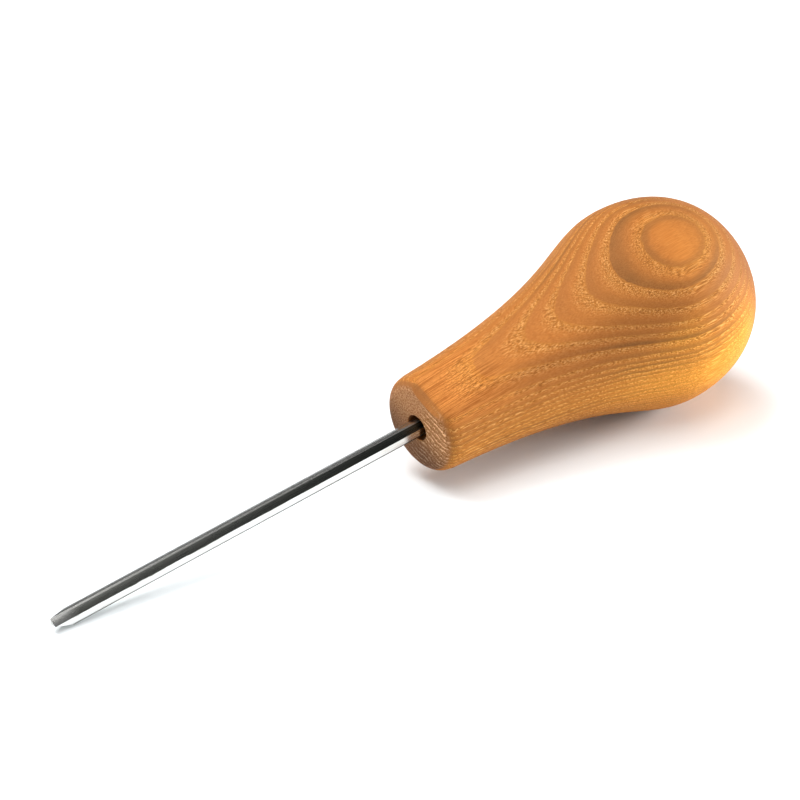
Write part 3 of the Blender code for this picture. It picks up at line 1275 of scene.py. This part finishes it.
@dataclass
class GroundBlade:
    """The hexagonal bar, with its tang, its V groove and its sharpened tip."""

    sides: int = 6
    across_flats: float = 3.15 * MM
    reach: float = 86.4 * MM
    tang: float = 45.0 * MM
    tang_chamfer: float = 0.5 * MM
    corner_round: float = 0.14 * MM
    corner_steps: int = 3
    turn: float = math.radians(12.0)
    v_width: float = 1.7 * MM
    v_angle: float = math.radians(60.0)
    v_run_out: float = 40.0 * MM
    bevel_angle: float = math.radians(22.0)
    keel_setback: float = 0.8 * MM
    edge_thickness: float = 0.03 * MM
    cutter_margin: float = 2.0 * MM
    smooth_angle: float = math.radians(25.0)
    name: str = "ground_blade"

    @property
    def v_depth(self) -> float:
        """Depth of the groove at the tip."""
        return self.v_width / 2 / math.tan(self.v_angle / 2)

    def bar(self) -> bpy.types.Object:
        """Cut the plain bar along x, with a flat upwards, and soften its long corners and the tang's end.

        Returns:
            The bar, in edit mode.
        """
        Bench.clear_selection()
        bpy.ops.mesh.primitive_cylinder_add(
            vertices=self.sides,
            radius=self.across_flats / 2 / math.cos(math.pi / self.sides),
            depth=self.reach + self.tang,
            location=((self.tang - self.reach) / 2, 0.0, 0.0),
            rotation=(0.0, math.pi / 2, 0.0),
        )
        piece = bpy.context.object
        piece.name = self.name
        piece.data.name = self.name
        bpy.ops.object.transform_apply(location=True, rotation=True, scale=True)
        bpy.ops.object.mode_set(mode="EDIT")
        Bench.select_edges(piece, lambda first, second: abs(first.x - second.x) > self.tang)
        bpy.ops.mesh.bevel(
            offset=self.corner_round, offset_type="OFFSET", segments=self.corner_steps, affect="EDGES"
        )
        end_x = self.tang - MERGE_DISTANCE
        Bench.select_edges(piece, lambda first, second: min(first.x, second.x) > end_x)
        bpy.ops.mesh.bevel(offset=self.tang_chamfer, offset_type="OFFSET", segments=1, affect="EDGES")
        return piece

    def sharpen(self) -> None:
        """Grind the two outer bevels of the bar in edit mode."""
        top = self.across_flats / 2
        half = self.v_angle / 2
        keel = Vector((self.keel_setback - self.reach, 0.0, top - self.v_depth))
        for side in (-1.0, 1.0):
            wing = Vector((-self.reach, side * self.v_width / 2, top))
            into_metal = Vector((0.0, side * math.cos(half), -math.sin(half)))
            back = Vector((1.0, 0.0, 0.0))
            grind = math.cos(self.bevel_angle) * back + math.sin(self.bevel_angle) * into_metal
            outward = (wing - keel).cross(grind).normalized()
            if outward.dot(into_metal) < 0:
                outward.negate()
            bpy.ops.mesh.select_all(action="SELECT")
            bpy.ops.mesh.bisect(
                plane_co=keel + self.edge_thickness * outward,
                plane_no=outward,
                use_fill=True,
                clear_outer=True,
            )

    def groove_cutter(self) -> bpy.types.Object:
        """Make the wedge that mills the V along a floor that rises from the tip to the run-out.

        Returns:
            The closed wedge.
        """
        slope = self.v_depth / self.v_run_out
        length = self.v_run_out + 2 * self.cutter_margin
        tip_x = -self.reach - self.cutter_margin
        floor = self.across_flats / 2 - self.v_depth - slope * self.cutter_margin
        height = self.v_depth + 2 * self.cutter_margin
        half_width = height * math.tan(self.v_angle / 2)
        ceiling = floor + height
        section = [(tip_x, 0.0, floor), (tip_x, half_width, ceiling), (tip_x, -half_width, ceiling)]
        piece = Bench.trace("groove_cutter", section)
        bpy.ops.mesh.edge_face_add()
        bpy.ops.mesh.extrude_region_move(TRANSFORM_OT_translate={"value": (length, 0.0, slope * length)})
        Bench.close_shape()
        return piece

    def build(self, axis: ToolAxis) -> bpy.types.Object:
        """Make the blade and its tang from one length of bar.

        Args:
            axis: Where the tool lies.

        Returns:
            The finished piece.
        """
        piece = self.bar()
        self.sharpen()
        bpy.ops.object.mode_set(mode="OBJECT")
        Bench.subtract(piece, self.groove_cutter())
        Bench.put_in_place(piece, axis.turned(self.turn).matrix, self.smooth_angle)
        return piece

    def dress(self, piece: bpy.types.Object, axis: ToolAxis) -> None:
        """Give the blade its steel and its place in the frame.

        Args:
            piece: The finished blade.
            axis: Where the tool lies.
        """
        piece.data.materials.append(SteelFinish().material(axis.turned(self.turn)))
        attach(piece, BODY)
        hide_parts("blade")


@dataclass
class TangAdhesive:
    """The sleeve of set adhesive round the tang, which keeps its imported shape."""

    node: str = "tang_adhesive"

    def dress(self, axis: ToolAxis) -> bpy.types.Object:
        """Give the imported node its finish.

        Args:
            axis: The tool's axis.

        Returns:
            The node's object.
        """
        piece = frame["nodes"][self.node]
        piece.data.materials.clear()
        piece.data.materials.append(AdhesiveFinish().material(axis))
        return piece


@dataclass(frozen=True)
class Softbox:
    """One rectangular studio light that looks at the tool, from an azimuth and an elevation in degrees."""

    name: str
    angles: Point
    distance: float
    size: Point
    power: float

    def build(self, target: Vector) -> bpy.types.Object:
        """Hang the light.

        Args:
            target: Point that it looks at.

        Returns:
            The light.
        """
        lamp = bpy.data.lights.new(self.name, "AREA")
        lamp.shape = "RECTANGLE"
        lamp.size, lamp.size_y = self.size
        lamp.energy = self.power
        light = bpy.data.objects.new(self.name, lamp)
        bpy.context.scene.collection.objects.link(light)
        outward = direction_at(*self.angles)
        light.location = target + self.distance * outward
        light.rotation_euler = outward.to_track_quat("Z", "Y").to_euler()
        light.visible_camera = False
        return light


@dataclass
class Studio:
    """The pale floor, the soft lights and the dome round the tool."""

    floor_size: float = 8.0
    floor_colour: Colour = (0.85, 0.885, 0.9)
    floor_roughness: float = 0.9
    dome_colour: Colour = (1.0, 1.0, 1.0)
    dome_strength: float = 0.17
    backdrop: Colour = (0.8, 0.8, 0.8)
    boxes: tuple[Softbox, ...] = (
        Softbox("right_softbox", angles=(-26.0, 11.0), distance=1.2, size=(0.6, 0.5), power=23.5),
        Softbox("back_softbox", angles=(110.0, 65.0), distance=1.4, size=(0.9, 0.9), power=19.0),
        Softbox("near_softbox", angles=(225.0, 72.0), distance=1.4, size=(1.0, 1.0), power=12.0),
        Softbox("left_backdrop", angles=(150.0, 15.0), distance=1.6, size=(2.0, 0.7), power=4.2),
    )

    def build_floor(self) -> bpy.types.Object:
        """Lay the floor.

        Returns:
            The floor.
        """
        Bench.clear_selection()
        bpy.ops.mesh.primitive_plane_add(size=self.floor_size, location=(0.0, 0.0, 0.0))
        floor = bpy.context.object
        floor.name = "studio_floor"
        bench = MaterialBench("pale_floor")
        colour = (*self.floor_colour, 1.0)
        floor.data.materials.append(bench.finish(Base_Color=colour, Roughness=self.floor_roughness))
        return floor

    def build_dome(self) -> None:
        """Light the tool evenly from all round, and show the camera a plain backdrop there."""
        world = bpy.data.worlds.new("studio_dome")
        world.use_nodes = True
        bpy.context.scene.world = world
        bench = NodeBench(world.node_tree)
        dome = world.node_tree.nodes["Background"]
        bench.feed(dome.inputs["Color"], (*self.dome_colour, 1.0))
        bench.feed(dome.inputs["Strength"], self.dome_strength)
        seen = bench.add("ShaderNodeBackground", {}, {"Color": (*self.backdrop, 1.0), "Strength": 1.0})
        path = bench.add("ShaderNodeLightPath", {}, {})
        inputs = {0: path.outputs["Is Camera Ray"], 1: dome.outputs[0], 2: seen.outputs[0]}
        mix = bench.add("ShaderNodeMixShader", {}, inputs)
        bench.feed(world.node_tree.nodes["World Output"].inputs["Surface"], mix.outputs[0])

    def build(self, target: Vector) -> None:
        """Set up the studio.

        Args:
            target: Point that the lights look at.
        """
        self.build_floor()
        self.build_dome()
        for box in self.boxes:
            box.build(target)
        bpy.context.scene.view_settings.view_transform = "Standard"


@dataclass
class PhotoCamera:
    """The camera, at the photograph's angles in degrees, with the handle's front where the image has it."""

    focal_length_mm: float = 174.35
    sensor_mm: float = 36.0
    angles: Point = (-129.12, 27.68)
    front_distance: float = 742.7 * MM
    front_pixel: Point = (416.93, 427.89)

    def build(self, axis: ToolAxis) -> bpy.types.Object:
        """Place the camera and make it the scene's.

        Args:
            axis: Where the tool lies.

        Returns:
            The camera.
        """
        turn = direction_at(*self.angles).to_track_quat("Z", "Y")
        pixel_angle = self.sensor_mm / self.focal_length_mm / IMAGE_SIZE
        middle = IMAGE_SIZE / 2
        right = (self.front_pixel[0] - middle) * pixel_angle
        down = (self.front_pixel[1] - middle) * pixel_angle
        data = bpy.data.cameras.new("photo_camera")
        data.lens = self.focal_length_mm
        data.sensor_width = self.sensor_mm
        camera = bpy.data.objects.new("photo_camera", data)
        bpy.context.scene.collection.objects.link(camera)
        camera.rotation_euler = turn.to_euler()
        camera.location = axis.front - turn @ (self.front_distance * Vector((right, -down, -1.0)))
        bpy.context.scene.camera = camera
        return camera


def report(piece: bpy.types.Object) -> None:
    """Log the name and size of a finished piece."""
    size = ", ".join(f"{length / MM:.1f}" for length in piece.dimensions)
    log.info("%s: %d faces, %s mm", piece.name, len(piece.data.polygons), size)


def main() -> None:
    """Build the tool's pieces, the studio and the camera."""
    logging.basicConfig(level=logging.INFO)
    handle = TurnedHandle()
    blade = GroundBlade()
    axis = ToolAxis.from_record(frame["record"], handle.length)
    for maker in (handle, blade):
        piece = maker.build(axis)
        maker.dress(piece, axis)
        report(piece)
    report(TangAdhesive().dress(axis))
    Studio().build(axis.front)
    PhotoCamera().build(axis)


if __name__ == "__main__":
    main()
